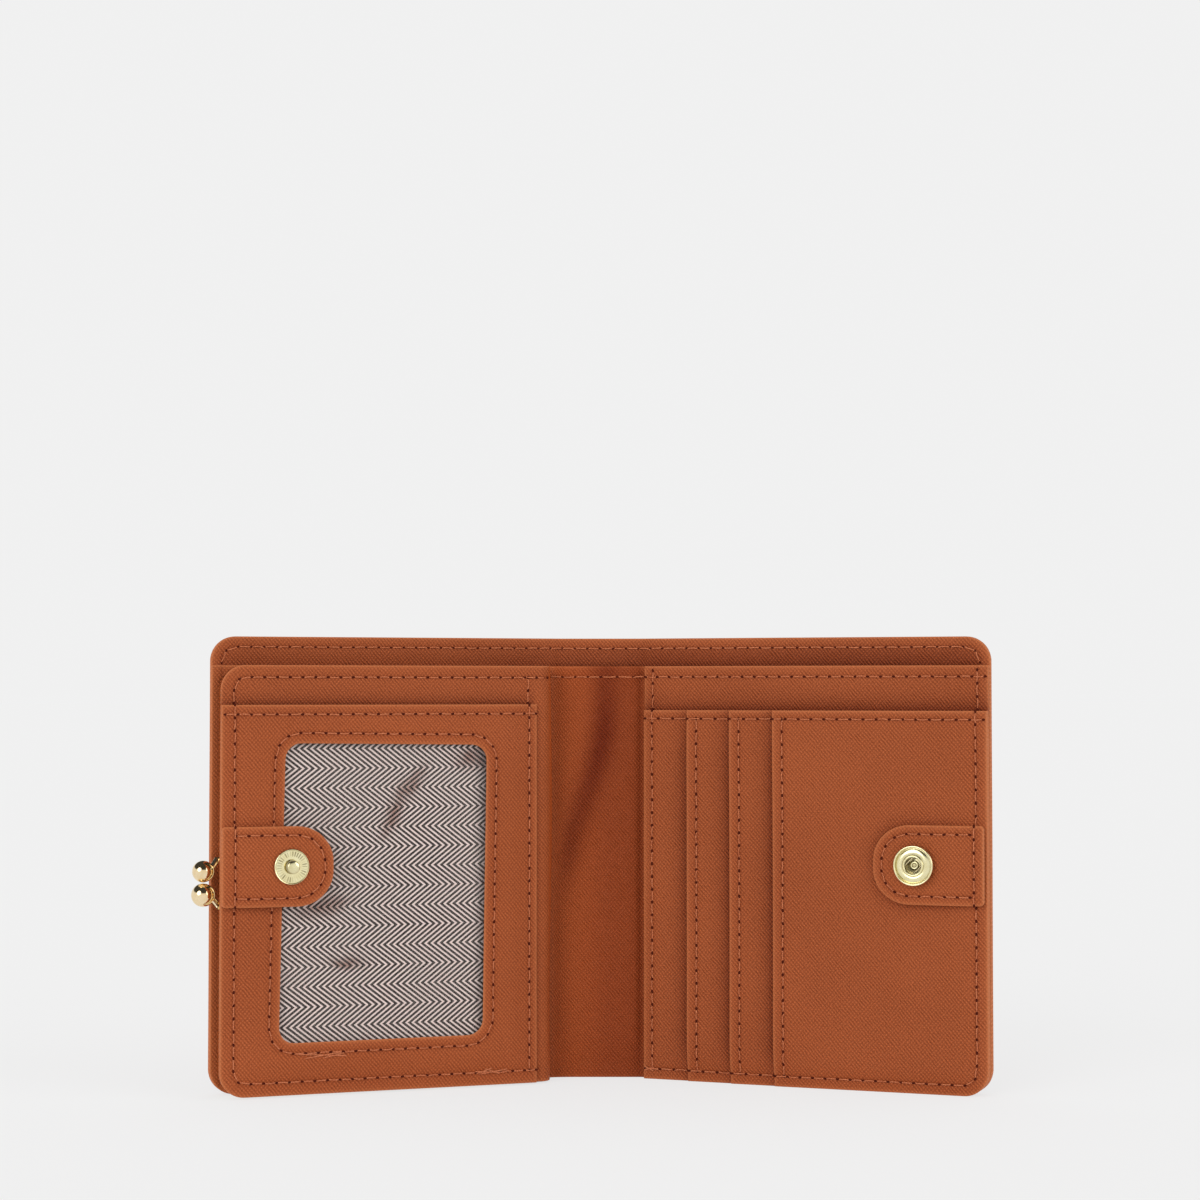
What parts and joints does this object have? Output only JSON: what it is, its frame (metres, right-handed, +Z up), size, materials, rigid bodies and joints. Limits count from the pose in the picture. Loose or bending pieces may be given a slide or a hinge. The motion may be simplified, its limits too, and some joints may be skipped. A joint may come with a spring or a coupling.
{
  "type": "wallet",
  "caption": "Small bifold wallet with a clasp-frame coin purse, an identity window, stepped card slots and a snap strap.",
  "frame": {"origin": "on the table under the middle of the wallet as it stands open", "axes": "+Z up the upright wallet; +X along the back half towards the spine and the card side; -Y out of the inside faces of the back half, towards the viewer"},
  "size_m": [0.1836, 0.0702, 0.11],
  "materials": {
    "leather": "tan cross-grain leather with a fine diagonal hatch, satin",
    "board": "grey-brown stiffening board",
    "purse_cloth": "plain woven brown lining",
    "herringbone_cloth": "cream and dark brown herringbone lining",
    "clear_film": "clear glossy film",
    "gold_metal": "polished pale gold plating",
    "spring_wire": "bright spring wire"
  },
  "bodies": {
    "back_half": {"cover_left": "leather", "cover_board_left": "board", "cover_lining_left": "leather", "divider_left": "leather", "purse_back_lining": "purse_cloth", "purse_frame_back": "gold_metal", "clasp_ball_back": "gold_metal", "pivot_rivet_top": "gold_metal", "pivot_rivet_bottom": "gold_metal", "purse_fold": "leather", "purse_gusset_top": "purse_cloth", "purse_gusset_bottom": "purse_cloth"},
    "spine": {"cover_spine": "leather", "lining_spine": "leather", "divider_spine": "leather"},
    "front_half": {"cover_right": "leather", "cover_board_right": "board", "cover_lining_right": "leather", "divider_right": "leather", "slip_pocket_panel": "leather", "card_base_panel": "leather", "card_slot_1": "leather", "card_slot_2": "leather", "card_slot_3": "leather"},
    "purse_front": {"purse_front_wall": "leather", "purse_front_lining": "purse_cloth", "purse_frame_front": "gold_metal", "clasp_ball_front": "gold_metal", "window_lining": "herringbone_cloth", "window_film": "clear_film", "id_pocket_panel": "leather"},
    "stud_tab": {"stud_tab_face": "leather", "stud_tab_backing": "leather", "snap_stud": "gold_metal", "snap_stud_cap": "gold_metal"},
    "socket_tab": {"socket_tab_face": "leather", "socket_tab_backing": "leather", "snap_socket": "gold_metal", "socket_spring": "spring_wire", "snap_socket_cap": "gold_metal"}
  },
  "joints": [
    {"name": "left_crease", "type": "hinge", "parent": "back_half", "child": "spine", "pos_m": [0.00148, 0.03454, 0], "axis": [0, 0, -1], "range_deg": [-19.5, 68.75], "deforming": ["lining_spine", "divider_spine"]},
    {"name": "right_crease", "type": "hinge", "parent": "spine", "child": "front_half", "pos_m": [0.02316, 0.02687, 0], "axis": [0, 0, -1], "range_deg": [-19.5, 68.75], "deforming": ["lining_spine", "divider_spine"]},
    {"name": "purse_hinge", "type": "hinge", "parent": "back_half", "child": "purse_front", "pos_m": [-0.01272, 0.02774, 0], "axis": [0, 0, -1], "range_deg": [-50, 0], "deforming": ["purse_fold", "purse_gusset_top", "purse_gusset_bottom"]},
    {"name": "stud_tab_flex", "type": "hinge", "parent": "purse_front", "child": "stud_tab", "pos_m": [-0.08572, 0.02119, 0.055], "axis": [0, 0, 1], "range_deg": [-70, 0], "stiffness_Nm_per_rad": 0.001},
    {"name": "socket_tab_flex", "type": "hinge", "parent": "front_half", "child": "socket_tab", "pos_m": [0.08599, -0.03411, 0.055], "axis": [0, 0, -1], "range_deg": [-70, 0], "stiffness_Nm_per_rad": 0.001}
  ]
}
